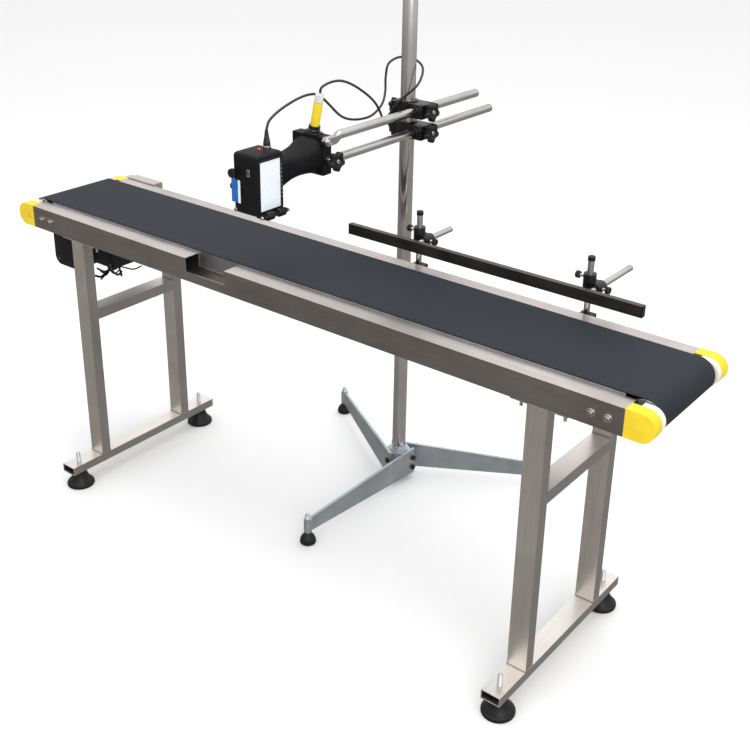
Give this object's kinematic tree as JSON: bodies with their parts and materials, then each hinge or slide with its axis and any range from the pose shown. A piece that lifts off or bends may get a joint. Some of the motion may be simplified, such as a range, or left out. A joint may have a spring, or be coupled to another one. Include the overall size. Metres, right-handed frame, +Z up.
{
  "type": "date code inkjet printer with belt conveyor",
  "caption": "Belt conveyor on levelling feet with a side guide, and a tripod stand that holds a handheld inkjet date printer and its sensor over the belt.",
  "frame": {"origin": "on the floor, under the middle of the whole machine", "axes": "+X along the belt towards the idler end, +Y across the belt towards the tripod stand, +Z up"},
  "size_m": [1.6, 0.819, 1.27],
  "materials": {
    "brushed_steel": "fine lengthwise brushing",
    "bed_steel": "plain sheet",
    "belt_rubber": "matte, fine fabric texture",
    "yellow_plastic": "moulded, slightly glossy",
    "white_plastic": "natural nylon",
    "zinc_screws": "bright zinc",
    "black_plastic": "moulded, fine grain",
    "roller_steel": "turned",
    "pulley_metal": "turned",
    "motor_paint": "satin black paint",
    "rubber": "matte rubber",
    "guide_metal": "dark anodised face",
    "polished_steel": "polished tube",
    "zinc_plate": "bluish zinc plating",
    "arm_metal": "satin tube",
    "printer_plastic": "fine moulded grain",
    "screen_glass": "lit panel behind clear film",
    "red_plastic": "moulded",
    "cartridge_plastic": "plain label over moulded shell",
    "cable_jacket": "smooth jacket",
    "sensor_plastic": "moulded barrel",
    "clear_plastic": "clear cap",
    "bracket_metal": "folded steel"
  },
  "bodies": {
    "conveyor": {"near_rail": "brushed_steel", "far_rail": "brushed_steel", "slider_bed": "bed_steel", "conveyor_belt": "belt_rubber", "end_caps": "yellow_plastic", "roller_brackets": "white_plastic", "frame_bolts": "zinc_screws", "left_leg": "brushed_steel", "right_leg": "brushed_steel", "gear_motor": "motor_paint", "terminal_box": "black_plastic", "drive_belt": "rubber", "drive_cover": "brushed_steel", "guide_posts": "polished_steel", "guide_brackets": "black_plastic"},
    "foot_near_left": {"foot_near_left": "black_plastic"},
    "foot_far_left": {"foot_far_left": "black_plastic"},
    "foot_near_right": {"foot_near_right": "black_plastic"},
    "foot_far_right": {"foot_far_right": "black_plastic"},
    "drive_roller": {"drive_roller": "roller_steel", "roller_pulley": "pulley_metal"},
    "idler_roller": {"idler_roller": "roller_steel"},
    "motor_rotor": {"motor_pulley": "pulley_metal"},
    "guide_carrier": {"guide_clamps": "black_plastic", "guide_screws": "black_plastic"},
    "guide_rail": {"guide_bar": "guide_metal", "guide_bar_caps": "black_plastic", "guide_rods": "polished_steel"},
    "stand": {"stand_hub": "zinc_plate", "stand_legs": "zinc_plate", "stand_bolts": "black_plastic", "stand_feet": "rubber"},
    "pole": {"stand_pole": "polished_steel"},
    "arm_carrier": {"upper_clamp": "black_plastic", "lower_clamp": "black_plastic", "pole_lock_knobs": "black_plastic"},
    "upper_clamp_knob": {"upper_clamp_knob": "black_plastic"},
    "lower_clamp_knob": {"lower_clamp_knob": "black_plastic"},
    "print_head": {"upper_arm": "arm_metal", "lower_arm": "arm_metal", "arm_bolt": "zinc_screws", "battery_base": "printer_plastic", "printer_grip": "printer_plastic", "printer_front_cover": "printer_plastic", "printer_rear_cover": "printer_plastic", "display_screen": "screen_glass", "sensor_socket": "zinc_screws", "cable_boot": "rubber", "sensor_cable": "cable_jacket", "sensor_body": "sensor_plastic", "sensor_cap": "clear_plastic", "sensor_bracket": "bracket_metal"},
    "arm_knob": {"arm_knob": "black_plastic"},
    "power_button": {"power_button": "red_plastic"},
    "trigger": {"trigger": "printer_plastic"},
    "ink_cartridge": {"ink_cartridge": "cartridge_plastic"},
    "cartridge_knob": {"cartridge_knob": "black_plastic"},
    "guide_wheels": {"guide_wheels": "rubber"}
  },
  "joints": [
    {"name": "drive_roller_turn", "type": "hinge", "parent": "conveyor", "child": "drive_roller", "pos_m": [-0.7627, -0.1825, 0.6287], "axis": [0, 1, 0], "continuous": true},
    {"name": "idler_roller_turn", "type": "hinge", "parent": "conveyor", "child": "idler_roller", "pos_m": [0.7627, -0.1825, 0.6287], "axis": [0, 1, 0], "continuous": true},
    {"name": "motor_shaft_turn", "type": "hinge", "parent": "conveyor", "child": "motor_rotor", "pos_m": [-0.695, -0.0825, 0.55], "axis": [0, 1, 0], "continuous": true},
    {"name": "level_foot_near_left", "type": "slide", "parent": "conveyor", "child": "foot_near_left", "axis": [0, 0, 1], "range_m": [-0.015, 0]},
    {"name": "level_foot_far_left", "type": "slide", "parent": "conveyor", "child": "foot_far_left", "axis": [0, 0, 1], "range_m": [-0.015, 0]},
    {"name": "level_foot_near_right", "type": "slide", "parent": "conveyor", "child": "foot_near_right", "axis": [0, 0, 1], "range_m": [-0.015, 0]},
    {"name": "level_foot_far_right", "type": "slide", "parent": "conveyor", "child": "foot_far_right", "axis": [0, 0, 1], "range_m": [-0.015, 0]},
    {"name": "guide_height", "type": "slide", "parent": "conveyor", "child": "guide_carrier", "axis": [0, 0, 1], "range_m": [-0.025, 0.018]},
    {"name": "guide_depth", "type": "slide", "parent": "guide_carrier", "child": "guide_rail", "axis": [0, 1, 0], "range_m": [-0.045, 0.02]},
    {"name": "stand_place", "type": "slide", "parent": "conveyor", "child": "stand", "axis": [0, 1, 0], "range_m": [0, 0.3]},
    {"name": "pole_swivel", "type": "hinge", "parent": "stand", "child": "pole", "pos_m": [-0.026, 0.1375, 0.2], "axis": [0, 0, 1], "range_deg": [-25, 10]},
    {"name": "carrier_height", "type": "slide", "parent": "pole", "child": "arm_carrier", "axis": [0, 0, 1], "range_m": [-0.04, 0.25]},
    {"name": "arm_reach", "type": "slide", "parent": "arm_carrier", "child": "print_head", "axis": [0, 1, 0], "range_m": [-0.12, 0.12], "deforming": ["sensor_cable"]},
    {"name": "upper_clamp_screw", "type": "hinge", "parent": "arm_carrier", "child": "upper_clamp_knob", "pos_m": [0.0315, 0.1375, 0.918], "axis": [1, 0, 0], "range_deg": [0, 180]},
    {"name": "lower_clamp_screw", "type": "hinge", "parent": "arm_carrier", "child": "lower_clamp_knob", "pos_m": [0.0315, 0.1375, 0.873], "axis": [1, 0, 0], "range_deg": [0, 180]},
    {"name": "arm_knob_screw", "type": "hinge", "parent": "print_head", "child": "arm_knob", "pos_m": [0.017, -0.1565, 0.873], "axis": [1, 0, 0], "range_deg": [0, 180]},
    {"name": "power_button_press", "type": "slide", "parent": "print_head", "child": "power_button", "axis": [0, 0, -1], "range_m": [0, 0.0015], "stiffness_N_per_m": 400},
    {"name": "trigger_pull", "type": "slide", "parent": "print_head", "child": "trigger", "axis": [0, 0, 1], "range_m": [0, 0.0025], "stiffness_N_per_m": 600},
    {"name": "cartridge_pull", "type": "slide", "parent": "print_head", "child": "ink_cartridge", "axis": [-1, 0, 0], "range_m": [0, 0.045]},
    {"name": "cartridge_lock", "type": "hinge", "parent": "print_head", "child": "cartridge_knob", "pos_m": [-0.09, -0.3205, 0.866], "axis": [0, 1, 0], "range_deg": [0, 90]},
    {"name": "guide_wheels_turn", "type": "hinge", "parent": "print_head", "child": "guide_wheels", "pos_m": [-0.021, -0.2825, 0.789], "axis": [0, 1, 0], "continuous": true}
  ],
  "couplings": [
    {"joint": "idler_roller_turn", "follows": "drive_roller_turn", "ratio": 1},
    {"joint": "motor_shaft_turn", "follows": "drive_roller_turn", "ratio": 1.2222}
  ]
}
